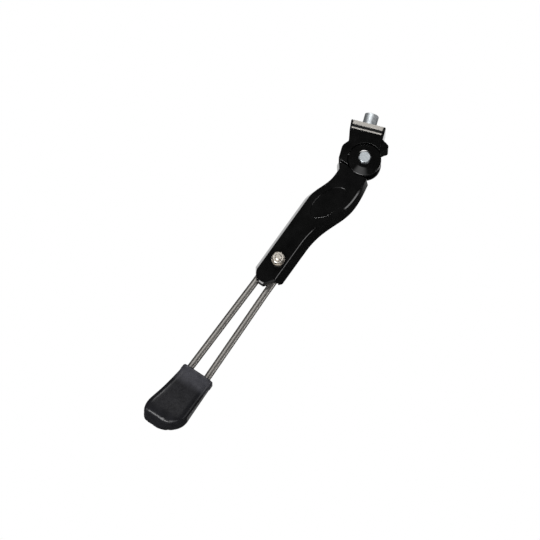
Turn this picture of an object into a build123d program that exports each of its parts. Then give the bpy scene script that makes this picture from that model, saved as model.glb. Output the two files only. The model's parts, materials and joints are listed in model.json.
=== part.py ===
from build123d import *
import os
from math import cos, radians, sin, sqrt, tan

# A bicycle kickstand that hangs under the frame on one screw, in millimetres.
# +Z is up along the mount bolt, X runs across the head, and the pivot's axis runs along Y, its front at -Y.
# The origin is on the mount bolt's axis, at the underside of the clamp plate.
# "Down the leg" is measured from the pivot along the leg, and "across" at right angles to it, right positive.

# Clearances
TURN_FIT = 0.05             # radial, where one piece turns or slides on another
STILL_FIT = 0.03            # radial, where one piece is pressed, screwed or moulded onto another
BOLT_FIT = 0.2              # radial, where a bolt passes through a hole
FACE_GAP = 0.1              # between flat faces that turn past each other
STOP_GAP = 0.3              # between the two stop faces when the leg is down
KNUCKLE_GAP = 0.6           # between the arm's knuckle and the hollow of the head
TONGUE_GAP = 0.9            # between the head's tongue and the floor of the arm's fork
PLATE_PLAY = 0.1            # between the clamp plate's ends and the lips

# Layout
PIVOT_RIGHT = 5.0           # the pivot's axis, to the right of the mount bolt's axis
PIVOT_DROP = 29.2           # the pivot's axis, below the clamp plate
LEG_ANGLE = 19.5            # the leg from straight down, towards -X
FOLD_ANGLE = 106.0          # the leg's swing from down to folded

# Clamp on the frame
FLANGE_LENGTH = 32.4
FLANGE_DEPTH = 24.0
FLANGE_THICKNESS = 2.4
LIP_CORNER = 1.2            # rounding of the lips' top, outside
FLANGE_LEFT_DRAFT = 1.0     # how far the flange's left end comes in at its foot
LIP_THICKNESS = 1.7
CLAMP_PLATE_THICKNESS = 4.1
PLATE_CORNER = 1.0
PLATE_EDGE = 0.5            # rounding of the clamp plate's edges
PAD_THICKNESS = 2.1
PAD_INSET = 0.6             # the pad's front and back edges, inside the clamp plate's
BACKING_THICKNESS = 1.8

# Mount bolt, M8
M8_RADIUS = 4.0
M8_HEAD_RADIUS = 6.5
M8_HEAD_HEIGHT = 8.0
M8_HEAD_EDGE = 0.6
M8_SOCKET_FLATS = 6.0
M8_SOCKET_DEPTH = 4.5
M8_ENGAGEMENT = 7.9         # how far the bolt is screwed into the head
M8_HOLE_SPARE = 0.5         # the tapped hole, beyond the bolt's end
FLAT_WASHER_RADIUS = 7.8
FLAT_WASHER_THICKNESS = 1.6
SPRING_WASHER_RADIUS = 6.4
SPRING_WASHER_THICKNESS = 2.5
SPRING_WASHER_SPLIT = 1.4
SPRING_WASHER_SLANT = 25.0

# M6 fasteners
M6_RADIUS = 3.0
M6_FLATS = 10.0
M6_HEAD_HEIGHT = 4.0
M6_NUT_HEIGHT = 5.0
M6_LOCK_NUT_HEIGHT = 6.0
M6_TIP = 2.0                # how far a bolt stands out of its nut
M6_TIP_CHAMFER = 0.6
M6_WASHER_RADIUS = 6.0
M6_WASHER_THICKNESS = 1.6
HEX_TOP_SHARE = 0.95        # the flat round on a hexagon's top, as a share of its flats

# Head
HEAD_THICKNESS = 17.0
NECK_LEFT = 17.8            # left side of the neck, from the pivot
NECK_RIGHT = 10.4
WAIST_UP = 17.5             # where the neck starts to widen to the left shoulder
SHOULDER_LEFT = 23.1
SHOULDER_UP = 5.5
STOP_ACROSS = 20.2          # outer end of the stop face, across the leg
STOP_STEP = 2.5             # top of the arm's ear, short of the knuckle's radius
LUG_FOOT = (11.6, 10.4)     # the folded stop's lug: lower end, lower corner, middle and upper end
LUG_CORNER = (15.4, 13.7)
LUG_TIP = (17.8, 16.9)
LUG_TOP = (16.0, 19.4)
GUSSET_HEIGHT = 12.0        # the slope from the flange's foot to the head's faces

# Pivot
TONGUE_INSET = 3.0          # the tongue's rim, inside the knuckle's
TONGUE_THICKNESS = 7.0
TONGUE_ROOT = 1.0           # how far the tongue reaches into the head
SLEEVE_RADIUS = 4.5
BUSHING_WALL = 1.0
THRUST_INSET = 1.0          # the thrust washers' rim, inside the tongue's
THRUST_THICKNESS = 0.8
KNUCKLE_RADIUS = 15.0
CAP_HEIGHT = 5.0
CAP_RIM = 1.2               # height of the cap's rim
CAP_RIM_EDGE = 0.6
CAP_FLAT_RADIUS = 7.5       # where the flat under the bolt's head turns into the cone
CAP_CREST = 6.0             # rounding between the flat and the cone
PIVOT_BOLT_TURN = 15.0      # how the hexagons happen to be turned

# Detent
DETENT_ANGLE = 4.5          # the plunger's bore, turned from the leg's axis towards the arm's bulge
PLUNGER_RADIUS = 3.9
PLUNGER_NOSE_RADIUS = 6.0
PLUNGER_LENGTH = 12.0
SPIGOT_RADIUS = 1.9
SPIGOT_LENGTH = 4.0
SPRING_LENGTH = 25.0
SPRING_WIRE = 1.0
SPRING_TURNS = 7
DIMPLE_RADIUS = 5.0
DIMPLE_DEPTH = 0.5

# Arm
ARM_FRONT = 7.0             # front face, ahead of the pivot's middle plane
ARM_BACK = 8.0
ARM_FRONT_EDGE = 1.4
ARM_CORNER = 1.2
EAR_ACROSS = 21.8           # outer end of the stop ear
EAR_HEIGHT = 7.3
WAIST_ACROSS = 16.5
WAIST_END_DOWN = 26.0
LEFT_STRAIGHT_DOWN = 59.0
RIGHT_STRAIGHT_DOWN = 98.0
BULGE_ACROSS = 15.9
BULGE_DOWN = 44.0
RIGHT_SHOULDER_ACROSS = 13.2
RIGHT_SHOULDER_STEP = 1.8   # top of the right shoulder, short of the knuckle's radius
LOW_LEFT = 26.4             # the lower part's left and right sides, from the pivot
LOW_RIGHT = 2.9
LOW_END_DOWN = 135.5
LOW_END_RISE = 12.8         # how far the end's tip reaches past its corners
LOW_END_REACH = 5.0         # how far the front's corners reach past the back's
LOW_TIP_REACH = 1.0         # how far the front's tip reaches past the back's
LOW_END_FLAT = 5.0          # the flat at the end's tip
LOW_END_BULGE = 1.2         # rounding of the end's left side, out from a straight line
LOW_CORNER = 2.0
UPPER_DRAFT = 2.0           # how far the front face lies inside the back outline
BULGE_DRAFT = 3.0
LOW_DRAFT = 4.5
OVAL_LENGTH = 39.0
OVAL_WIDTH = 20.0
OVAL_DEPTH = 0.7
OVAL_DOWN = 52.0
OVAL_ACROSS = -4.2
OVAL_TURN = 17.0

# Rods
ROD_RADIUS = 3.2
ROD_OFFSET = 10.85          # the middle between the rods, left of the pivot
ROD_BEHIND = 2.5            # the rods' plane, behind the pivot's middle plane
ROD_SPACING = 13.8
ROD_TOP_DOWN = 75.0
ROD_SPLAY_BELOW = 15.5      # where the rods start to splay, below the arm's lower corners
ROD_SPLAY_RADIUS = 200.0
ROD_BEND_DOWN = 297.0
ROD_BEND_SPACING = 20.2     # between the rods, where the bend starts
ROD_BEND_FLAT = 1.1         # half of the straight piece in the bend
CHANNEL_WALL = 0.8          # channel floor beside each rod
CHANNEL_ABOVE = 3.0         # free room above the rods' ends

# Rod clamp
CLAMP_ABOVE = 13.2          # the clamp bolt, above the arm's lower corners
CLAMP_PLATE_LENGTH = 22.0
CLAMP_PLATE_BACK = 8.6
CLAMP_NIP = 0.4             # gap that is left for tightening
CLAMP_PLATE_PLAY = 0.4

# Foot
FOOT_GRIP = 47.2            # the foot's top, above the rods' bend
FOOT_TOP_WIDTH = 31.0
FOOT_TOP_OFFSET = 10.1      # the middle of the foot's top, left of the pivot
FOOT_TOP_DEPTH = 17.0
FOOT_WIDE_BELOW = 44.0      # where the foot is widest, below its top
FOOT_SOLE_BELOW = 14.2      # the middle of the sole, below the widest place
FOOT_LEFT_FLARE = 6.2
FOOT_RIGHT_FLARE = 0.4
FOOT_DEPTH_FLARE = 4.1
FOOT_FLARE_POWER = 1.5      # the sides curve outwards, more so lower down
FOOT_LEFT_TUCK = 3.0        # how far the left side comes in again at the sole
FOOT_EDGE = 5.0             # rounding of the long edges
FOOT_LEFT_CORNER = 9.0
FOOT_RIGHT_CORNER = 25.0
FOOT_SOLE_EDGE = 2.0
FOOT_SOLE_TILT = 7.5        # the sole from square to the leg, its front edge higher
FOOT_SPARE = 0.6            # what the roundings of the sole leave over at the sides

# Values that follow from the ones above
channel_floor = PIVOT_DROP - PAD_THICKNESS - BACKING_THICKNESS
flange_half = FLANGE_LENGTH / 2
plate_length = FLANGE_LENGTH - 2 * (LIP_THICKNESS + PLATE_PLAY)
stop_down = KNUCKLE_RADIUS - STOP_STEP
ear_foot_down = stop_down + EAR_HEIGHT
shoulder_down = KNUCKLE_RADIUS - RIGHT_SHOULDER_STEP
stop_face_down = stop_down - STOP_GAP
hollow_radius = KNUCKLE_RADIUS + KNUCKLE_GAP
tongue_radius = KNUCKLE_RADIUS - TONGUE_INSET
tongue_half = TONGUE_THICKNESS / 2
thrust_radius = tongue_radius - THRUST_INSET
cheek_half = tongue_half + FACE_GAP + THRUST_THICKNESS
fork_floor_down = tongue_radius + TONGUE_GAP
bushing_radius = SLEEVE_RADIUS + TURN_FIT + BUSHING_WALL
bolt_hole = M6_RADIUS + BOLT_FIT
cap_face = ARM_FRONT + CAP_HEIGHT
plunger_nose = tongue_radius + TURN_FIT
plunger_back = plunger_nose + PLUNGER_LENGTH
nose_height = PLUNGER_NOSE_RADIUS - sqrt(PLUNGER_NOSE_RADIUS**2 - PLUNGER_RADIUS**2)
bore_end = plunger_back + SPRING_LENGTH
rod_groove = ROD_RADIUS + TURN_FIT
rod_half = ROD_SPACING / 2
rod_splay_down = LOW_END_DOWN + ROD_SPLAY_BELOW
rod_bend_radius = ROD_BEND_SPACING / 2 - ROD_BEND_FLAT
clamp_down = LOW_END_DOWN - CLAMP_ABOVE
channel_half = rod_half + ROD_RADIUS + CHANNEL_WALL
channel_top_down = ROD_TOP_DOWN - CHANNEL_ABOVE
flange_under = -PAD_THICKNESS - BACKING_THICKNESS - FLANGE_THICKNESS
bolt_seat = CLAMP_PLATE_THICKNESS + FLAT_WASHER_THICKNESS + SPRING_WASHER_THICKNESS
coil_radius = PLUNGER_RADIUS - SPRING_WIRE / 2 - FACE_GAP
coil_height = SPRING_LENGTH - SPRING_WIRE - 2 * FACE_GAP
foot_left = -FOOT_TOP_OFFSET - FOOT_TOP_WIDTH / 2
foot_right = -FOOT_TOP_OFFSET + FOOT_TOP_WIDTH / 2
foot_top_down = ROD_BEND_DOWN - FOOT_GRIP
foot_length = FOOT_WIDE_BELOW + FOOT_SOLE_BELOW
foot_sole_left = foot_left - FOOT_LEFT_FLARE - FOOT_SPARE
foot_sole_right = foot_right + FOOT_RIGHT_FLARE + FOOT_SPARE
foot_sole_half = FOOT_TOP_DEPTH / 2 + FOOT_DEPTH_FLARE + FOOT_SPARE
foot_sole_slope = foot_sole_half * tan(radians(FOOT_SOLE_TILT))
foot_end = foot_length + foot_sole_slope

pivot = Vector(PIVOT_RIGHT, 0, -PIVOT_DROP)
lean = radians(LEG_ANGLE)
detent_lean = radians(LEG_ANGLE + DETENT_ANGLE)
face_plane = Plane(pivot, x_dir=(1, 0, 0), z_dir=(0, -1, 0))
leg_plane = Plane(pivot, x_dir=(cos(lean), 0, -sin(lean)), z_dir=(0, -1, 0))
detent_plane = Plane(pivot, x_dir=(0, -1, 0), z_dir=(-sin(detent_lean), 0, -cos(detent_lean)))
front_plane = leg_plane.offset(ARM_FRONT)
back_plane = leg_plane.offset(-ARM_BACK)
rod_plane = leg_plane.offset(-ROD_BEHIND)
foot_top = leg_plane.from_local_coords((0, -foot_top_down, -ROD_BEHIND))
foot_front_plane = Plane(foot_top, x_dir=leg_plane.x_dir, z_dir=leg_plane.z_dir)
foot_side_plane = Plane(foot_top, x_dir=leg_plane.z_dir, z_dir=-leg_plane.x_dir)
rear_plane = Plane(pivot + Vector(0, ARM_BACK, 0), x_dir=(1, 0, 0), z_dir=(0, 1, 0))
bolt_turn = radians(PIVOT_BOLT_TURN)
bolt_plane = Plane(pivot, x_dir=(cos(bolt_turn), 0, sin(bolt_turn)), z_dir=(0, -1, 0))
clamp_front = leg_plane.from_local_coords((-ROD_OFFSET, -clamp_down, ARM_FRONT))
clamp_front_plane = Plane(clamp_front, x_dir=bolt_plane.x_dir, z_dir=(0, -1, 0))
clamp_back = leg_plane.from_local_coords((-ROD_OFFSET, -clamp_down, -CLAMP_PLATE_BACK))
clamp_back_plane = Plane(clamp_back, x_dir=leg_plane.x_dir, z_dir=(0, 1, 0))
pivot_axis = Axis(pivot, (0, -1, 0))


def section_plane(seat):
    """The plane through a seat's Z axis, with X as the distance from that axis and Y along it."""
    return Plane(seat.origin, x_dir=seat.x_dir, z_dir=-seat.y_dir)


def across_plane(down):
    """A plane across the leg, this far down it, centred between the rods and facing down the leg."""
    centre = leg_plane.from_local_coords((-ROD_OFFSET, -down, -ROD_BEHIND))
    return Plane(centre, x_dir=leg_plane.x_dir, z_dir=-leg_plane.y_dir)


def ring(seat, outer, inner, thickness):
    """A flat ring that lies on the plane called seat."""
    with BuildPart() as piece:
        with BuildSketch(seat):
            Circle(outer)
            Circle(inner, mode=Mode.SUBTRACT)
        extrude(amount=thickness)
    return piece.part


def hexagon(seat, height, hole=0.0):
    """A hexagonal head or nut on the plane called seat, with the corners of its far end turned away."""
    corner = M6_FLATS / sqrt(3)
    top = HEX_TOP_SHARE * M6_FLATS / 2
    turned = (corner - top) / sqrt(3)
    with BuildPart() as piece:
        with BuildSketch(seat):
            RegularPolygon(M6_FLATS / 2, 6, major_radius=False)
            if hole:
                Circle(hole, mode=Mode.SUBTRACT)
        extrude(amount=height)
        with BuildSketch(section_plane(seat)):
            Polygon((0, 0), (corner, 0), (corner, height - turned), (top, height), (0, height), align=None)
        revolve(axis=Axis(seat.origin, seat.z_dir), mode=Mode.INTERSECT)
    return piece.part


def bolt(seat, head_height, reach):
    """An M6 hexagon bolt, its head on the plane called seat and its shank reaching the other way."""
    with BuildPart() as piece:
        add(hexagon(seat, head_height))
        with BuildSketch(seat):
            Circle(M6_RADIUS)
        extrude(amount=-reach)
        tip = piece.edges().filter_by(GeomType.CIRCLE).sort_by(Axis(seat.origin, seat.z_dir))[0]
        chamfer(tip, M6_TIP_CHAMFER)
    return piece.part


def arm_outline(height, draft, inset):
    """The arm's outline at a height, drawn in by a share of its draft and by an inset."""
    low = draft * LOW_DRAFT + inset
    upper = draft * UPPER_DRAFT + inset
    left = -LOW_LEFT + low
    right = LOW_RIGHT - low
    ear = (-EAR_ACROSS + upper, -stop_down - inset)
    waist = -WAIST_ACROSS + upper
    bulge = BULGE_ACROSS - draft * BULGE_DRAFT - inset
    shoulder = (RIGHT_SHOULDER_ACROSS - upper, -shoulder_down - inset)
    end = -LOW_END_DOWN - draft * LOW_END_REACH + inset
    tip = -LOW_END_DOWN - LOW_END_RISE - draft * LOW_TIP_REACH + inset
    tip_left = (left + right - LOW_END_FLAT) / 2
    tip_right = (left + right + LOW_END_FLAT) / 2
    round_left = (-sqrt(KNUCKLE_RADIUS**2 - ear[1]**2), ear[1])
    round_right = (sqrt(KNUCKLE_RADIUS**2 - shoulder[1]**2), shoulder[1])
    with BuildSketch(leg_plane.offset(height)) as outline:
        with BuildLine():
            Line(round_left, ear)
            Line(ear, (waist, -ear_foot_down))
            Line((waist, -ear_foot_down), (waist, -WAIST_END_DOWN))
            Spline((waist, -WAIST_END_DOWN), (left, -LEFT_STRAIGHT_DOWN), tangents=((0, -1), (0, -1)))
            Line((left, -LEFT_STRAIGHT_DOWN), (left, end))
            SagittaArc((left, end), (tip_left, tip), -LOW_END_BULGE)
            Line((tip_left, tip), (tip_right, tip))
            Line((tip_right, tip), (right, end))
            Line((right, end), (right, -RIGHT_STRAIGHT_DOWN))
            Spline((right, -RIGHT_STRAIGHT_DOWN), (bulge, -BULGE_DOWN), shoulder,
                   tangents=((0, 1), (-0.2, 1)))
            Line(shoulder, round_right)
            ThreePointArc(round_right, (0, KNUCKLE_RADIUS), round_left)
        make_face()
        small = [outline.vertices().sort_by_distance(corner)[0] for corner in (ear, shoulder)]
        fillet(small, ARM_CORNER)
        low_corners = ((left, end), (tip_left, tip), (tip_right, tip), (right, end))
        large = [outline.vertices().sort_by_distance(corner)[0] for corner in low_corners]
        fillet(large, LOW_CORNER)
    return outline.sketch


def hairpin(radius):
    """A round bar of some radius along the rods' line: straight in the arm, then splayed to the bend."""
    half = ROD_BEND_SPACING / 2
    with BuildPart() as bar:
        with BuildLine(rod_plane) as line:
            FilletPolyline(
                (-ROD_OFFSET - rod_half, -ROD_TOP_DOWN),
                (-ROD_OFFSET - rod_half, -rod_splay_down),
                (-ROD_OFFSET - half, -ROD_BEND_DOWN),
                (-ROD_OFFSET + half, -ROD_BEND_DOWN),
                (-ROD_OFFSET + rod_half, -rod_splay_down),
                (-ROD_OFFSET + rod_half, -ROD_TOP_DOWN),
                radius=(ROD_SPLAY_RADIUS, rod_bend_radius, rod_bend_radius, ROD_SPLAY_RADIUS),
            )
        with BuildSketch(Plane(line.line @ 0, z_dir=line.line % 0)):
            Circle(radius)
        sweep()
    return bar.part


def foot_section(below):
    """The foot's section this far below its top: flared to its widest place, then tucked in on the left."""
    flare = min(below / FOOT_WIDE_BELOW, 1) ** FOOT_FLARE_POWER
    tuck = max(below - FOOT_WIDE_BELOW, 0) / FOOT_SOLE_BELOW
    left = foot_left - flare * FOOT_LEFT_FLARE + tuck * FOOT_LEFT_TUCK
    right = foot_right + flare * FOOT_RIGHT_FLARE
    centre = leg_plane.from_local_coords(((left + right) / 2, -foot_top_down - below, -ROD_BEHIND))
    with BuildSketch(Plane(centre, x_dir=leg_plane.x_dir, z_dir=-leg_plane.y_dir)) as section:
        RectangleRounded(right - left, FOOT_TOP_DEPTH + 2 * flare * FOOT_DEPTH_FLARE, FOOT_EDGE)
    return section.sketch


# Head: a cast block with a hollow for the arm's knuckle, a tongue for the pivot and a flange with two lips
stop_outer = leg_plane.from_local_coords((-STOP_ACROSS, -stop_face_down)) - pivot
stop_inner = leg_plane.from_local_coords((-SLEEVE_RADIUS, -stop_face_down)) - pivot
with BuildPart() as head:
    with BuildSketch(face_plane):
        with BuildLine():
            Line((-NECK_LEFT, channel_floor), (-NECK_LEFT, WAIST_UP))
            Spline((-NECK_LEFT, WAIST_UP), (-SHOULDER_LEFT, SHOULDER_UP), tangents=((0, -1), (0, -1)))
            Line((-SHOULDER_LEFT, SHOULDER_UP), (stop_outer.X, stop_outer.Z))
            Line((stop_outer.X, stop_outer.Z), (stop_inner.X, stop_inner.Z))
            Line((stop_inner.X, stop_inner.Z), LUG_FOOT)
            Line(LUG_FOOT, LUG_CORNER)
            ThreePointArc(LUG_CORNER, LUG_TIP, LUG_TOP)
            Spline(LUG_TOP, (NECK_RIGHT, channel_floor), tangents=((-0.7, 0.7), (0, 1)))
            Line((NECK_RIGHT, channel_floor), (-NECK_LEFT, channel_floor))
        make_face()
    extrude(amount=HEAD_THICKNESS / 2, both=True)
    with BuildSketch(Plane.XY.offset(flange_under - GUSSET_HEIGHT)):
        with Locations((PIVOT_RIGHT + (NECK_RIGHT - NECK_LEFT) / 2, 0)):
            Rectangle(NECK_LEFT + NECK_RIGHT, HEAD_THICKNESS)
    with BuildSketch(Plane.XY.offset(flange_under)):
        with Locations((FLANGE_LEFT_DRAFT / 2, 0)):
            Rectangle(FLANGE_LENGTH - FLANGE_LEFT_DRAFT, FLANGE_DEPTH)
    loft()
    with BuildSketch(face_plane):
        Circle(hollow_radius)
    extrude(amount=FLANGE_DEPTH, both=True, mode=Mode.SUBTRACT)
    with BuildSketch(face_plane):
        Circle(tongue_radius)
        Rectangle(2 * tongue_radius, hollow_radius + TONGUE_ROOT, align=(Align.CENTER, Align.MIN))
    extrude(amount=tongue_half, both=True)
    with BuildSketch(face_plane):
        Circle(bushing_radius + STILL_FIT)
        with PolarLocations(tongue_radius - DIMPLE_DEPTH + DIMPLE_RADIUS, 2, 270 - LEG_ANGLE - DETENT_ANGLE,
                            FOLD_ANGLE, endpoint=True):
            Circle(DIMPLE_RADIUS)
    extrude(amount=tongue_half, both=True, mode=Mode.SUBTRACT)
    with BuildSketch(Plane.XZ) as flange:
        lip_tops = ((flange_half, CLAMP_PLATE_THICKNESS), (-flange_half, CLAMP_PLATE_THICKNESS))
        feet = ((FLANGE_LEFT_DRAFT - flange_half, flange_under), (flange_half, flange_under))
        Polygon(*feet, *lip_tops, align=None)
        fillet([flange.vertices().sort_by_distance(corner)[0] for corner in lip_tops], LIP_CORNER)
        with Locations((0, -PAD_THICKNESS - BACKING_THICKNESS)):
            Rectangle(FLANGE_LENGTH - 2 * LIP_THICKNESS, CLAMP_PLATE_THICKNESS - flange_under,
                      align=(Align.CENTER, Align.MIN), mode=Mode.SUBTRACT)
    extrude(amount=FLANGE_DEPTH / 2, both=True)
    with BuildSketch(Plane.XY.offset(-PAD_THICKNESS - BACKING_THICKNESS)):
        Circle(M8_RADIUS + STILL_FIT)
    extrude(amount=-M8_ENGAGEMENT - M8_HOLE_SPARE, mode=Mode.SUBTRACT)

# Clamp plate, the rubber pad under it and the pad's steel backing
with BuildPart() as clamp_plate:
    with BuildSketch():
        RectangleRounded(plate_length, FLANGE_DEPTH, PLATE_CORNER)
        Circle(M8_RADIUS + BOLT_FIT, mode=Mode.SUBTRACT)
    extrude(amount=CLAMP_PLATE_THICKNESS)
    rims = clamp_plate.faces().filter_by(Axis.Z).sort_by(Axis.Z)
    fillet(rims[0].outer_wire().edges() + rims[-1].outer_wire().edges(), PLATE_EDGE)

with BuildPart() as frame_pad:
    with BuildSketch(Plane.XY.offset(-PAD_THICKNESS)):
        RectangleRounded(plate_length, FLANGE_DEPTH - 2 * PAD_INSET, PLATE_CORNER)
        Circle(M8_RADIUS + BOLT_FIT, mode=Mode.SUBTRACT)
    extrude(amount=PAD_THICKNESS)

with BuildPart() as pad_backing:
    with BuildSketch(Plane.XY.offset(-PAD_THICKNESS - BACKING_THICKNESS)):
        RectangleRounded(plate_length, FLANGE_DEPTH, PLATE_CORNER)
        Circle(M8_RADIUS + BOLT_FIT, mode=Mode.SUBTRACT)
    extrude(amount=BACKING_THICKNESS)

# Mount bolt, a socket head screw, and its washers
with BuildPart() as mount_bolt:
    with BuildSketch(Plane.XY.offset(bolt_seat)):
        Circle(M8_HEAD_RADIUS)
    extrude(amount=M8_HEAD_HEIGHT)
    rim = mount_bolt.faces().sort_by(Axis.Z)[-1].outer_wire().edges()
    fillet(rim, M8_HEAD_EDGE)
    with BuildSketch(Plane.XY.offset(bolt_seat + M8_HEAD_HEIGHT)):
        RegularPolygon(M8_SOCKET_FLATS / 2, 6, major_radius=False)
    extrude(amount=-M8_SOCKET_DEPTH, mode=Mode.SUBTRACT)
    with BuildSketch(Plane.XY.offset(bolt_seat)):
        Circle(M8_RADIUS)
    extrude(amount=-bolt_seat - PAD_THICKNESS - BACKING_THICKNESS - M8_ENGAGEMENT)

flat_washer = ring(Plane.XY.offset(CLAMP_PLATE_THICKNESS), FLAT_WASHER_RADIUS, M8_RADIUS + BOLT_FIT,
                   FLAT_WASHER_THICKNESS)

with BuildPart() as spring_washer:
    add(ring(Plane.XY.offset(bolt_seat - SPRING_WASHER_THICKNESS), SPRING_WASHER_RADIUS,
             M8_RADIUS + BOLT_FIT, SPRING_WASHER_THICKNESS))
    split_place = (0, SPRING_WASHER_RADIUS, bolt_seat - SPRING_WASHER_THICKNESS / 2)
    with Locations(Location(split_place, (0, SPRING_WASHER_SLANT, 0))):
        Box(SPRING_WASHER_SPLIT, SPRING_WASHER_RADIUS, 2 * SPRING_WASHER_THICKNESS, mode=Mode.SUBTRACT)

# Pivot: a bolt through the fork, a cap in front, and a sleeve that the bushing in the head's tongue turns on
with BuildPart() as pivot_cap:
    with BuildSketch(section_plane(face_plane)) as half_section:
        with BuildLine():
            Polyline((bolt_hole, cap_face), (bolt_hole, ARM_FRONT), (KNUCKLE_RADIUS, ARM_FRONT),
                     (KNUCKLE_RADIUS, ARM_FRONT + CAP_RIM), (CAP_FLAT_RADIUS, cap_face), close=True)
        make_face()
        crest = half_section.vertices().sort_by_distance((CAP_FLAT_RADIUS, cap_face))[0]
        fillet(crest, CAP_CREST)
        rim = half_section.vertices().sort_by_distance((KNUCKLE_RADIUS, ARM_FRONT + CAP_RIM))[0]
        fillet(rim, CAP_RIM_EDGE)
    revolve(axis=pivot_axis)

pivot_bolt = bolt(bolt_plane.offset(cap_face), M6_HEAD_HEIGHT,
                  cap_face + ARM_BACK + M6_WASHER_THICKNESS + M6_LOCK_NUT_HEIGHT + M6_TIP)
pivot_washer = ring(rear_plane, M6_WASHER_RADIUS, bolt_hole, M6_WASHER_THICKNESS)
pivot_nut = hexagon(rear_plane.offset(M6_WASHER_THICKNESS), M6_LOCK_NUT_HEIGHT, M6_RADIUS + STILL_FIT)
pivot_sleeve = ring(leg_plane.offset(-cheek_half), SLEEVE_RADIUS, bolt_hole, 2 * cheek_half)
pivot_bushing = ring(face_plane.offset(-tongue_half), bushing_radius, SLEEVE_RADIUS + TURN_FIT,
                     TONGUE_THICKNESS)
front_thrust_washer = ring(leg_plane.offset(cheek_half - THRUST_THICKNESS), thrust_radius,
                           SLEEVE_RADIUS + TURN_FIT, THRUST_THICKNESS)
rear_thrust_washer = ring(leg_plane.offset(-cheek_half), thrust_radius,
                          SLEEVE_RADIUS + TURN_FIT, THRUST_THICKNESS)

# Arm: a drafted casting, forked at the top, with a bore for the detent and a channel for the rods behind
with BuildPart() as arm:
    loft([arm_outline(-ARM_BACK, 0, 0), arm_outline(ARM_FRONT - ARM_FRONT_EDGE, 1, 0),
          arm_outline(ARM_FRONT, 1, ARM_FRONT_EDGE)], ruled=True)
    with BuildSketch(leg_plane):
        with Locations((0, -fork_floor_down)):
            Rectangle(4 * KNUCKLE_RADIUS, 4 * KNUCKLE_RADIUS, align=(Align.CENTER, Align.MIN))
    extrude(amount=cheek_half, both=True, mode=Mode.SUBTRACT)
    with BuildSketch(leg_plane):
        Circle(bolt_hole)
        with Locations((-ROD_OFFSET, -clamp_down)):
            Circle(bolt_hole)
    extrude(amount=ARM_FRONT + ARM_BACK, both=True, mode=Mode.SUBTRACT)
    with BuildSketch(detent_plane.offset(tongue_radius)):
        Circle(PLUNGER_RADIUS + TURN_FIT)
    extrude(amount=bore_end - tongue_radius, mode=Mode.SUBTRACT)
    with BuildSketch(front_plane):
        with Locations((OVAL_ACROSS, -OVAL_DOWN)):
            Ellipse(OVAL_LENGTH / 2, OVAL_WIDTH / 2, rotation=90 - OVAL_TURN)
    extrude(amount=-OVAL_DEPTH, mode=Mode.SUBTRACT)
    with BuildSketch(back_plane):
        with Locations((-ROD_OFFSET, -channel_top_down)):
            Rectangle(2 * channel_half, LOW_END_DOWN, align=(Align.CENTER, Align.MAX))
    extrude(amount=ARM_BACK - ROD_BEHIND, mode=Mode.SUBTRACT)
    with BuildSketch(across_plane(channel_top_down)):
        with GridLocations(ROD_SPACING, 0, 2, 1):
            Circle(rod_groove)
    extrude(amount=LOW_END_DOWN, mode=Mode.SUBTRACT)

# Detent: a plunger with a domed nose against the tongue's rim, and the coil spring behind it
with BuildPart() as detent_plunger:
    with BuildSketch(section_plane(detent_plane)):
        with BuildLine():
            TangentArc((0, plunger_nose), (PLUNGER_RADIUS, plunger_nose + nose_height), tangent=(1, 0))
            Polyline((PLUNGER_RADIUS, plunger_nose + nose_height), (PLUNGER_RADIUS, plunger_back),
                     (SPIGOT_RADIUS, plunger_back), (SPIGOT_RADIUS, plunger_back + SPIGOT_LENGTH),
                     (0, plunger_back + SPIGOT_LENGTH), (0, plunger_nose))
        make_face()
    revolve(axis=Axis(pivot, detent_plane.z_dir))

with BuildPart() as detent_spring:
    with BuildLine() as coil:
        Helix(coil_height / SPRING_TURNS, coil_height, coil_radius,
              center=detent_plane.offset(plunger_back + SPRING_WIRE / 2 + FACE_GAP).origin,
              direction=detent_plane.z_dir)
    with BuildSketch(Plane(coil.line @ 0, z_dir=coil.line % 0)):
        Circle(SPRING_WIRE / 2)
    sweep()

# Rod clamp: a grooved plate behind the rods, drawn forward by a bolt between them
with BuildPart() as rod_clamp_plate:
    with BuildSketch(leg_plane.offset(-CLAMP_PLATE_BACK)):
        with Locations((-ROD_OFFSET, -clamp_down)):
            RectangleRounded(2 * (channel_half - CLAMP_PLATE_PLAY), CLAMP_PLATE_LENGTH, ARM_CORNER)
            Circle(bolt_hole, mode=Mode.SUBTRACT)
    extrude(amount=CLAMP_PLATE_BACK - ROD_BEHIND - CLAMP_NIP)
    with BuildSketch(across_plane(clamp_down - CLAMP_PLATE_LENGTH)):
        with GridLocations(ROD_SPACING, 0, 2, 1):
            Circle(rod_groove)
    extrude(amount=2 * CLAMP_PLATE_LENGTH, mode=Mode.SUBTRACT)

clamp_bolt = bolt(clamp_back_plane, M6_HEAD_HEIGHT,
                  CLAMP_PLATE_BACK + ARM_FRONT + M6_WASHER_THICKNESS + M6_NUT_HEIGHT + M6_TIP)
clamp_washer = ring(clamp_front_plane, M6_WASHER_RADIUS, bolt_hole, M6_WASHER_THICKNESS)
clamp_nut = hexagon(clamp_front_plane.offset(M6_WASHER_THICKNESS), M6_NUT_HEIGHT, M6_RADIUS + STILL_FIT)

# Leg: the hairpin rod and the rubber foot moulded round its bend
leg_rod = hairpin(ROD_RADIUS)

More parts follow.
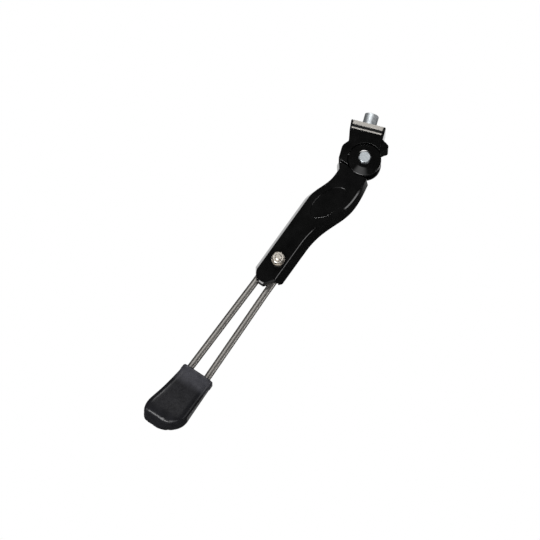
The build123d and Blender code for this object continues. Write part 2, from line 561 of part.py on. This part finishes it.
with BuildPart() as foot:
    stations = [share * FOOT_WIDE_BELOW for share in (0, 0.25, 0.5, 0.75, 1)]
    loft([foot_section(below) for below in (*stations, foot_end)])
    with BuildSketch(foot_front_plane) as front_view:
        with Locations((foot_sole_left, 0)):
            Rectangle(foot_sole_right - foot_sole_left, foot_end, align=(Align.MIN, Align.MAX))
        fillet(front_view.vertices().sort_by_distance((foot_sole_left, -foot_end))[0], FOOT_LEFT_CORNER)
        fillet(front_view.vertices().sort_by_distance((foot_sole_right, -foot_end))[0], FOOT_RIGHT_CORNER)
    extrude(amount=FOOT_TOP_WIDTH, both=True, mode=Mode.INTERSECT)
    with BuildSketch(foot_side_plane) as side_view:
        back_edge = (-foot_sole_half, -foot_end)
        front_edge = (foot_sole_half, foot_sole_slope - foot_length)
        Polygon((-foot_sole_half, 0), back_edge, front_edge, (foot_sole_half, 0), align=None)
        sole_edges = [side_view.vertices().sort_by_distance(edge)[0] for edge in (back_edge, front_edge)]
        fillet(sole_edges, FOOT_SOLE_EDGE)
    extrude(amount=foot_end, both=True, mode=Mode.INTERSECT)
    add(hairpin(ROD_RADIUS + STILL_FIT), mode=Mode.SUBTRACT)

pieces = {
    "mount_head": head.part,
    "clamp_plate": clamp_plate.part,
    "frame_pad": frame_pad.part,
    "pad_backing": pad_backing.part,
    "mount_bolt": mount_bolt.part,
    "flat_washer": flat_washer,
    "spring_washer": spring_washer.part,
    "pivot_bushing": pivot_bushing,
    "arm": arm.part,
    "pivot_cap": pivot_cap.part,
    "pivot_bolt": pivot_bolt,
    "pivot_washer": pivot_washer,
    "pivot_nut": pivot_nut,
    "pivot_sleeve": pivot_sleeve,
    "front_thrust_washer": front_thrust_washer,
    "rear_thrust_washer": rear_thrust_washer,
    "detent_plunger": detent_plunger.part,
    "detent_spring": detent_spring.part,
    "rod_clamp_plate": rod_clamp_plate.part,
    "clamp_bolt": clamp_bolt,
    "clamp_washer": clamp_washer,
    "clamp_nut": clamp_nut,
    "leg_rod": leg_rod,
    "foot": foot.part,
}
os.makedirs("parts", exist_ok=True)
for label, piece in pieces.items():
    piece.label = label
    export_step(piece, f"parts/{label}.step")
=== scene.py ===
import bpy
import json
from math import atan2, radians
from mathutils import Matrix, Vector, noise

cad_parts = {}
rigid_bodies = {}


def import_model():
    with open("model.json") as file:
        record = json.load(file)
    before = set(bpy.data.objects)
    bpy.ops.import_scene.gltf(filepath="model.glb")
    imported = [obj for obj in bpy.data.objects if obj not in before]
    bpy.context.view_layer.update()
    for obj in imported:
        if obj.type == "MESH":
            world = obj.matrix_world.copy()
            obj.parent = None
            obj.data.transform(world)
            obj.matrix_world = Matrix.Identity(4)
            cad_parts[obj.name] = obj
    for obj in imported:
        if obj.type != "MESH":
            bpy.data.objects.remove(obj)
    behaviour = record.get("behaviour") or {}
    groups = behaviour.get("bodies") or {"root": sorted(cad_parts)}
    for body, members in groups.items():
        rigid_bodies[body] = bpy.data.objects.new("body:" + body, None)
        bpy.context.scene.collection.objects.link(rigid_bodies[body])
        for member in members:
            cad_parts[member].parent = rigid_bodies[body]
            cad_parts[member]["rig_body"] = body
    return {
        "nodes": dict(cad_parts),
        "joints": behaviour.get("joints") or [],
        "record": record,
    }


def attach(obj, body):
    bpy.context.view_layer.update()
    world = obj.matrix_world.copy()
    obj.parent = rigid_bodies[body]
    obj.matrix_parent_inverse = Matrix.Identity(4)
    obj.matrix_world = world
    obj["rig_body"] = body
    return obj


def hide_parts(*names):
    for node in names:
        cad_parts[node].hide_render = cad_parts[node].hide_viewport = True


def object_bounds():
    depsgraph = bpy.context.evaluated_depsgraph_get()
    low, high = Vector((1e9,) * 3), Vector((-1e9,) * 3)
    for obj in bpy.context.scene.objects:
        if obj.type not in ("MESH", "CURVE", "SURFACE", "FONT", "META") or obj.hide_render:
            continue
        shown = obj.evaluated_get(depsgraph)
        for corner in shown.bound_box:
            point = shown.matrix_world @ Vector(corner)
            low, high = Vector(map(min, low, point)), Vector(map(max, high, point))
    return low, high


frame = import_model()
cad_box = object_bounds()

# The leg's pivot, the way that the leg points, and how far it leans from straight down
LEG_FOLD, LEG_LENGTH = frame["joints"][:2]
PIVOT = Vector(LEG_FOLD["pos_m"])
LEG_DOWN = Vector(LEG_LENGTH["axis"])
LEG_ANGLE = atan2(-LEG_DOWN.x, -LEG_DOWN.z)

# Camera: it looks up at the stand from a little below, rolled so that the head leans to the right
CAMERA_SIDE = Vector((0.080, -0.951, -0.2985))
CAMERA_UP = Vector((-0.246, -0.309, 0.919))
CAMERA_DISTANCE = 6.0
CAMERA_REACH = 20.0
VIEW_WIDTH = 0.486
VIEW_CENTRE = PIVOT + Vector((-0.0562, 0, -0.1209))
SENSOR = 36.0                   # in millimetres


def make_camera():
    """A long lens square to the view, so that the stand shows with almost no perspective."""
    back = CAMERA_SIDE.normalized()
    right = CAMERA_UP.cross(back).normalized()
    up = back.cross(right)
    data = bpy.data.cameras.new("camera")
    data.sensor_width = SENSOR
    data.lens = SENSOR * CAMERA_DISTANCE / VIEW_WIDTH
    data.clip_end = CAMERA_REACH
    camera = bpy.data.objects.new("camera", data)
    turn = Matrix((right, up, back)).transposed().to_4x4()
    camera.matrix_world = Matrix.Translation(VIEW_CENTRE + back * CAMERA_DISTANCE) @ turn
    bpy.context.scene.collection.objects.link(camera)
    bpy.context.scene.camera = camera
    return right, up, back


# Materials
NOISE_START, NOISE_END = 0.3, 0.7       # a noise pattern lies mostly between these
SCUFF_END = 0.75                        # and the pattern of rubber's scuffs ends here
METAL_WANDER = (-0.03, 0.04)            # how far roughness strays from its middle
RUBBER_WANDER = (-0.04, 0.04)
ALONG_PLATE = (0.08, 1, 1)              # stretches a pattern to streaks along X
ALONG_ROD = (1, 1, 0.01)                # and along the leg, once it is turned upright

PAINT = ((0.002,) * 3, (0.004,) * 3)    # colours from dark to light
PAINT_ROUGHNESS = (0.09, 0.13)
NYLON = ((0.6, 0.58, 0.52), (0.72, 0.7, 0.64))
NYLON_ROUGHNESS = (0.4, 0.55)
BLACK_RUBBER = ((0.003,) * 3, (0.006,) * 3)
GREY_RUBBER = ((0.006, 0.006, 0.007), (0.01, 0.01, 0.0115))
BARE_STEEL = ((0.34, 0.325, 0.3), (0.44, 0.42, 0.39))
DRAWN_STEEL = ((0.31, 0.295, 0.275), (0.37, 0.355, 0.335))
PLATINGS = {                            # colours from dark to light, and roughness
    "zinc": ((0.78, 0.82, 0.85), (0.86, 0.9, 0.92), 0.57),
    # a darker copy of the zinc: painted shade for the pivot bolt's head
    "shaded_zinc": ((0.38, 0.41, 0.43), (0.46, 0.49, 0.51), 0.5),
    "nickel": ((0.6, 0.56, 0.5), (0.72, 0.67, 0.6), 0.38),
    "bronze": ((0.42, 0.26, 0.11), (0.55, 0.36, 0.17), 0.4),
}

FOOT_GLOSS = 0.12
LIP_GLOSS = 0.3                 # the foot's worn lip shines more
LIP_FACING = (0.0, 0.45)        # from plain to worn, by how squarely a face looks down the leg
SOLE_SHARE = 0.3                # the sole's gloss, as a share of the lip's
SOLE_FACING = (0.6, 0.9)
TOP_SHEEN = 4.0                     # painted sheen: how much paler the foot's colour is near its top, where light catches it
TOP_SHEEN_EDGE = (0.285, 0.295)     # painted sheen down to here, and none from here, along the leg


class Nodes:
    """A node tree, with short calls to add and join nodes."""

    def __init__(self, owner, shader):
        owner.use_nodes = True
        self.owner = owner
        self.tree = owner.node_tree
        self.shader = self.tree.nodes[shader]

    def add(self, kind, links=None, **values):
        """Adds a node, sets its properties and sockets, and joins other sockets to its own."""
        node = self.tree.nodes.new(kind)
        for key, value in values.items():
            if hasattr(node, key):
                setattr(node, key, value)
            else:
                node.inputs[key].default_value = value
        for key, socket in (links or {}).items():
            self.tree.links.new(socket, node.inputs[key])
        return node

    def join(self, socket, key):
        """Joins a socket to one of the shader's inputs."""
        self.tree.links.new(socket, self.shader.inputs[key])

    def constants(self, **values):
        """Sets the shader's own sockets."""
        for key, value in values.items():
            self.shader.inputs[key.replace("_", " ")].default_value = value

    def coordinates(self, stretch=(1, 1, 1), turn=0.0):
        """Places on the object in metres, turned about Y and then stretched along each axis."""
        place = self.add("ShaderNodeTexCoord").outputs["Object"]
        turned = self.add(
            "ShaderNodeVectorRotate", {"Vector": place}, rotation_type="Y_AXIS", Angle=turn)
        scaled = self.add(
            "ShaderNodeVectorMath", {0: turned.outputs["Vector"]}, operation="MULTIPLY")
        scaled.inputs[1].default_value = stretch
        return scaled.outputs["Vector"]

    def noise(self, vector, cells, detail=3.0):
        """A noise pattern with so many cells to the metre."""
        node = self.add("ShaderNodeTexNoise", {"Vector": vector}, Scale=cells, Detail=detail)
        return node.outputs["Fac"]

    def spread(self, socket, low, high, start=NOISE_START, end=NOISE_END):
        """Maps a value smoothly from start..end to low..high."""
        node = self.add("ShaderNodeMapRange", {"Value": socket}, interpolation_type="SMOOTHSTEP")
        keys = ("From Min", "From Max", "To Min", "To Max")
        for key, value in zip(keys, (start, end, low, high)):
            node.inputs[key].default_value = value
        return node.outputs["Result"]

    def math(self, operation, first, second):
        """Combines two values."""
        node = self.add("ShaderNodeMath", {0: first, 1: second}, operation=operation)
        return node.outputs["Value"]

    def dot(self, vector, direction):
        """How far a vector reaches along a direction."""
        node = self.add("ShaderNodeVectorMath", {0: vector}, operation="DOT_PRODUCT")
        node.inputs[1].default_value = direction
        return node.outputs["Value"]

    def scaled(self, colour, share):
        """A colour times a value."""
        node = self.add("ShaderNodeVectorMath", {0: colour, "Scale": share}, operation="SCALE")
        return node.outputs["Vector"]

    def mirrored(self, path):
        """1 for what glossy or clear surfaces show, and 0 for the rest."""
        return self.math("MAXIMUM", path["Is Glossy Ray"], path["Is Transmission Ray"])

    def mottled(self, pattern, dark, light, end=NOISE_END):
        """A colour that runs from dark to light with a noise pattern."""
        node = self.add("ShaderNodeValToRGB", {"Fac": pattern})
        stops = zip(node.color_ramp.elements, (NOISE_START, end), (dark, light))
        for element, place, colour in stops:
            element.position = place
            element.color = (*colour, 1)
        return node.outputs["Color"]

    def uneven(self, pattern, roughness, wander):
        """Gives the shader a roughness that strays with a noise pattern."""
        low, high = (roughness + stray for stray in wander)
        self.join(self.spread(pattern, low, high), "Roughness")

    def bump(self, pattern, strength, distance):
        """Raises the surface by a pattern."""
        node = self.add(
            "ShaderNodeBump", {"Height": pattern}, Strength=strength, Distance=distance)
        self.join(node.outputs["Normal"], "Normal")


def new_material(name):
    """A material with a Principled shader."""
    material = bpy.data.materials.new(name)
    return Nodes(material, "Principled BSDF")


def black_paint():
    """Gloss black paint on a casting: faint orange peel, and slightly uneven gloss."""
    paint = new_material("black_paint")
    place = paint.coordinates()
    paint.join(paint.mottled(paint.noise(place, cells=90), *PAINT), "Base Color")
    paint.join(paint.spread(paint.noise(place, cells=200), *PAINT_ROUGHNESS), "Roughness")
    paint.bump(paint.noise(place, cells=450, detail=1), strength=0.03, distance=0.0001)
    paint.constants(Specular_IOR_Level=0.5)
    return paint.owner


def plated(name, dark, light, roughness):
    """Bare or plated metal with faint clouding."""
    metal = new_material(name)
    place = metal.coordinates()
    metal.join(metal.mottled(metal.noise(place, cells=300), dark, light), "Base Color")
    metal.uneven(metal.noise(place, cells=500), roughness, METAL_WANDER)
    metal.constants(Metallic=1.0)
    return metal.owner


def drawn(name, dark, light, roughness, stretch, turn=0.0, metallic=1.0):
    """Drawn or rolled steel: faint streaks along one direction."""
    metal = new_material(name)
    streaks = metal.noise(metal.coordinates(stretch, turn), cells=1000, detail=4)
    metal.join(metal.mottled(streaks, dark, light), "Base Color")
    metal.uneven(streaks, roughness, METAL_WANDER)
    metal.bump(streaks, strength=0.02, distance=0.00005)
    metal.constants(Metallic=metallic)
    return metal.owner


def rubber(name, dark, light, roughness, relief, gloss):
    """Moulded rubber: fine grain, and paler scuffs."""
    soft = new_material(name)
    place = soft.coordinates()
    scuffs = soft.noise(place, cells=160, detail=5)
    soft.join(soft.mottled(scuffs, dark, light, end=SCUFF_END), "Base Color")
    soft.uneven(soft.noise(place, cells=400), roughness, RUBBER_WANDER)
    soft.bump(soft.noise(place, cells=2500), strength=relief, distance=0.0003)
    soft.constants(Specular_IOR_Level=gloss)
    return soft


def foot_rubber():
    """The foot's rubber: a painted sheen that makes it paler near its top, a shiny worn lip and a
    matt sole.
    """
    soft = rubber("grey_rubber", *GREY_RUBBER, roughness=0.28, relief=0.03, gloss=FOOT_GLOSS)
    colour = soft.shader.inputs["Base Color"].links[0].from_socket
    # painted sheen: the colour is scaled paler near the foot's top, as if light caught it there
    top_sheen = soft.spread(soft.dot(soft.coordinates(), LEG_DOWN), TOP_SHEEN, 1.0, *TOP_SHEEN_EDGE)
    soft.join(soft.scaled(colour, top_sheen), "Base Color")
    facing = soft.dot(soft.add("ShaderNodeTexCoord").outputs["Normal"], LEG_DOWN)
    rising = soft.spread(facing, FOOT_GLOSS, LIP_GLOSS, *LIP_FACING)
    falling = soft.spread(facing, 1.0, SOLE_SHARE, *SOLE_FACING)
    soft.join(soft.math("MULTIPLY", rising, falling), "Specular IOR Level")
    return soft.owner


def natural_nylon():
    """Natural nylon of the hidden thrust washers."""
    nylon = new_material("nylon")
    place = nylon.coordinates()
    nylon.join(nylon.mottled(nylon.noise(place, cells=300), *NYLON), "Base Color")
    nylon.join(nylon.spread(nylon.noise(place, cells=800), *NYLON_ROUGHNESS), "Roughness")
    return nylon.owner


def make_materials():
    """A material for each slot of the record, and a darker copy of the zinc that paints shade on
    the pivot bolt.
    """
    bare = drawn("bare_steel", *BARE_STEEL, roughness=0.55, stretch=ALONG_PLATE, metallic=0.8)
    rods = drawn("drawn_steel", *DRAWN_STEEL, roughness=0.46, stretch=ALONG_ROD, turn=-LEG_ANGLE)
    pad = rubber("black_rubber", *BLACK_RUBBER, roughness=0.6, relief=0.25, gloss=0.15).owner
    made = {name: plated(name, *values) for name, values in PLATINGS.items()}
    return made | {
        "black_paint": black_paint(),
        "bare_steel": bare,
        "drawn_steel": rods,
        "nylon": natural_nylon(),
        "black_rubber": pad,
        "grey_rubber": foot_rubber(),
    }


# Pieces
SLOTS = {entry["node"]: entry["material_slot"] for entry in frame["record"]["subparts"]}
# the pivot bolt gets the darker zinc copy, as painted shade
FINISHES = SLOTS | {"pivot_bolt": "shaded_zinc"}
SOFTENED = ("mount_head", "arm", "pad_backing", "rod_clamp_plate")
WELD = 1e-6                 # points nearer than this are joined
FLAT = radians(0.5)         # faces that turn less than this are joined
SHARP = radians(30)         # edges that turn more than this get rounded
EDGE = 0.0003               # how far they are rounded
EDGE_STEPS = 3


def dress_nodes():
    """Gives every node its material."""
    for node, finish in FINISHES.items():
        mesh = frame["nodes"][node].data
        mesh.materials.clear()
        mesh.materials.append(materials[finish])


def soften(node):
    """Rounds a node's sharp edges, as casting, rolling or paint leaves them."""
    piece = frame["nodes"][node]
    weld = piece.modifiers.new("weld", "WELD")
    weld.merge_threshold = WELD
    flatten = piece.modifiers.new("flatten", "DECIMATE")
    flatten.decimate_type = "DISSOLVE"
    flatten.angle_limit = FLAT
    bevel = piece.modifiers.new("bevel", "BEVEL")
    bevel.width = EDGE
    bevel.segments = EDGE_STEPS
    bevel.limit_method = "ANGLE"
    bevel.angle_limit = SHARP
    bevel.use_clamp_overlap = False
    shade = piece.modifiers.new("shade", "WEIGHTED_NORMAL")
    shade.keep_sharp = False


PAD_GRID = 0.0004                   # size of the pad's mesh
PAD_ROUNDS = 3                      # passes of smoothing
PAD_SQUEEZE = (0.0101, 0.0111)      # squeezed out from here, and fully from here, front and back
PAD_OUT = 0.0008
PAD_OVER = 0.0006                   # how far it laps over its backing
PAD_THICKNESS = 0.0021
FOOT_GRID = 0.0008                  # size of the foot's mesh
FOOT_ROUNDS = 5
COLLAR_FADE = (0.0042, 0.0062)      # the collar is full down to here from the top, gone from here
COLLAR_HEIGHT = 0.00035
LIP_FADE = (0.007, 0.015)           # wear rounds the foot up to here above the sole, none from here
LIP_ROUNDS = 60
PIT_FADE = (0.004, 0.009)           # and pits it up to here, not from here
PIT_DEPTH = 0.0006
PIT_CELLS = 350                     # to the metre


def baked(piece):
    """A piece's mesh as its modifiers leave it."""
    depsgraph = bpy.context.evaluated_depsgraph_get()
    return bpy.data.meshes.new_from_object(piece.evaluated_get(depsgraph))


def moulded(name, node, grid, rounds):
    """A rubber piece in place of a node: its mesh drawn again evenly and its edges rounded off."""
    piece = frame["nodes"][node].copy()
    piece.data = piece.data.copy()
    piece.modifiers.new("remesh", "REMESH").voxel_size = grid
    piece.modifiers.new("smooth", "SMOOTH").iterations = rounds
    bpy.context.scene.collection.objects.link(piece)
    mesh = baked(piece)
    bpy.data.objects.remove(piece)
    mesh.name = name
    mesh.materials.clear()
    mesh.materials.append(materials[SLOTS[node]])
    mesh.polygons.foreach_set("use_smooth", [True] * len(mesh.polygons))
    made = bpy.data.objects.new(name, mesh)
    bpy.context.scene.collection.objects.link(made)
    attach(made, frame["nodes"][node]["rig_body"])
    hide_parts(node)
    return made


def fade(value, full, gone):
    """1 up to full, 0 from gone, and smooth between."""
    way = min(max((value - full) / (gone - full), 0), 1)
    return 1 - way * way * (3 - 2 * way)


def make_pad():
    """The pad, squeezed out at its front and back over the edges of its backing."""
    pad = moulded("frame_pad_rubber", "frame_pad", PAD_GRID, PAD_ROUNDS)
    for vertex in pad.data.vertices:
        out = 1 - fade(abs(vertex.co.y), *PAD_SQUEEZE)
        vertex.co.y += PAD_OUT * out * (1 if vertex.co.y > 0 else -1)
        vertex.co.z += PAD_OVER * out * vertex.co.z / PAD_THICKNESS


def reaches(mesh):
    """How far down the leg each point of a mesh lies."""
    return [vertex.co.dot(LEG_DOWN) for vertex in mesh.vertices]


def make_foot():
    """The foot: a low collar round its top, and a lip and sole that are worn round and pitted."""
    foot = moulded("foot_rubber", "foot", FOOT_GRID, FOOT_ROUNDS)
    reach = reaches(foot.data)
    top = min(reach)
    sole = max(reach)
    lip = foot.vertex_groups.new(name="lip")
    for index, down in enumerate(reach):
        lip.add([index], fade(sole - down, *LIP_FADE), "REPLACE")
    worn = foot.modifiers.new("worn", "SMOOTH")
    worn.vertex_group = lip.name
    worn.iterations = LIP_ROUNDS
    mesh = baked(foot)
    foot.modifiers.clear()
    foot.data = mesh
    normals = [vertex.normal.copy() for vertex in mesh.vertices]
    for vertex, down, normal in zip(mesh.vertices, reaches(mesh), normals):
        collar = fade(down - top, *COLLAR_FADE) * COLLAR_HEIGHT
        pit = PIT_DEPTH * abs(noise.noise(vertex.co * PIT_CELLS))
        vertex.co += normal * (collar - fade(sole - down, *PIT_FADE) * pit)


# Stage
FLOOR_BELOW = 0.75              # from the foot down to the floor, which is out of the main view
FLOOR_PLACE = (-0.45, -0.8)
FLOOR_SIZE = 2.6
FLOOR_COLOURS = ((0.78,) * 3, (0.82,) * 3)
FLOOR_FADE = (0.5, 1.6)         # glossy surfaces mirror it white out to here, and not from here
SOFT_LIGHT = 0.35               # the room's light on matt surfaces
BACKDROP_EDGE = (0.8, 0.97)     # the backdrop turns white between these, as shares of the way back
BACKDROP_LOW = (-0.3, -0.05)    # and between these, as shares of the way up
DIM_FRONT = 0.02                # what glossy surfaces mirror of the room's front
LIGHTS = (  # places are to the right of, above and in front of the view's centre; size; watts
    ("high", (0.0, 2.65, 1.41), 0.8, 52.0),
    ("low_left", (-0.36, -0.4, 0.525), 0.5, 7.0),
    ("right", (0.93, -0.26, 0.27), 0.4, 1.8),
)


def make_floor():
    """A plain pale floor, which glossy surfaces mirror as white as the backdrop."""
    low = cad_box[0][2] - FLOOR_BELOW
    bpy.ops.mesh.primitive_plane_add(size=FLOOR_SIZE, location=(*FLOOR_PLACE, low))
    floor = bpy.context.object
    floor.name = "floor"
    pale = new_material("floor_paint")
    place = pale.coordinates()
    colour = pale.mottled(pale.noise(place, cells=3), *FLOOR_COLOURS)
    mirrored = pale.mirrored(pale.add("ShaderNodeLightPath").outputs)
    reach = pale.add("ShaderNodeVectorMath", {0: place}, operation="LENGTH").outputs["Value"]
    near = pale.spread(reach, 1.0, 0.0, *FLOOR_FADE)
    pale.join(pale.math("MULTIPLY", mirrored, near), "Emission Strength")
    plain = pale.spread(mirrored, 1.0, 0.0, 0.0, 1.0)
    pale.join(pale.scaled(colour, pale.math("MAXIMUM", plain, near)), "Base Color")
    pale.constants(Roughness=0.9, Emission_Color=(1, 1, 1, 1))
    floor.data.materials.append(pale.owner)


def make_world():
    """White to the camera. Glossy surfaces mirror a white backdrop and a dim front."""
    _, up, back = view_axes
    world = bpy.data.worlds.new("world")
    bpy.context.scene.world = world
    room = Nodes(world, "Background")
    room.constants(Color=(1, 1, 1, 1))
    path = room.add("ShaderNodeLightPath").outputs
    place = room.add("ShaderNodeTexCoord").outputs["Generated"]
    above = room.spread(room.dot(place, up), 0.0, 1.0, *BACKDROP_LOW)
    behind = room.spread(room.dot(place, -back), 0.0, 1.0, *BACKDROP_EDGE)
    white = room.math("MULTIPLY", above, behind)
    backdrop = room.add("ShaderNodeMath", {0: white}, operation="ADD")
    backdrop.inputs[1].default_value = DIM_FRONT
    links = {"Factor": room.mirrored(path), "B": backdrop.outputs["Value"]}
    level = room.add("ShaderNodeMix", links, A=SOFT_LIGHT).outputs["Result"]
    room.join(room.math("MAXIMUM", path["Is Camera Ray"], level), "Strength")


def make_light(name, place, size, power):
    """A square soft light that points at the view's centre."""
    right, up, back = view_axes
    data = bpy.data.lights.new(name, "AREA")
    data.shape = "SQUARE"
    data.size = size
    data.energy = power
    light = bpy.data.objects.new(name, data)
    offset = right * place[0] + up * place[1] + back * place[2]
    light.location = VIEW_CENTRE + offset
    light.rotation_euler = (-offset).to_track_quat("-Z", "Y").to_euler()
    bpy.context.scene.collection.objects.link(light)


bpy.context.scene.view_settings.view_transform = "Standard"
view_axes = make_camera()
make_world()
make_floor()
for values in LIGHTS:
    make_light(*values)
materials = make_materials()
dress_nodes()
for node in SOFTENED:
    soften(node)
make_pad()
make_foot()
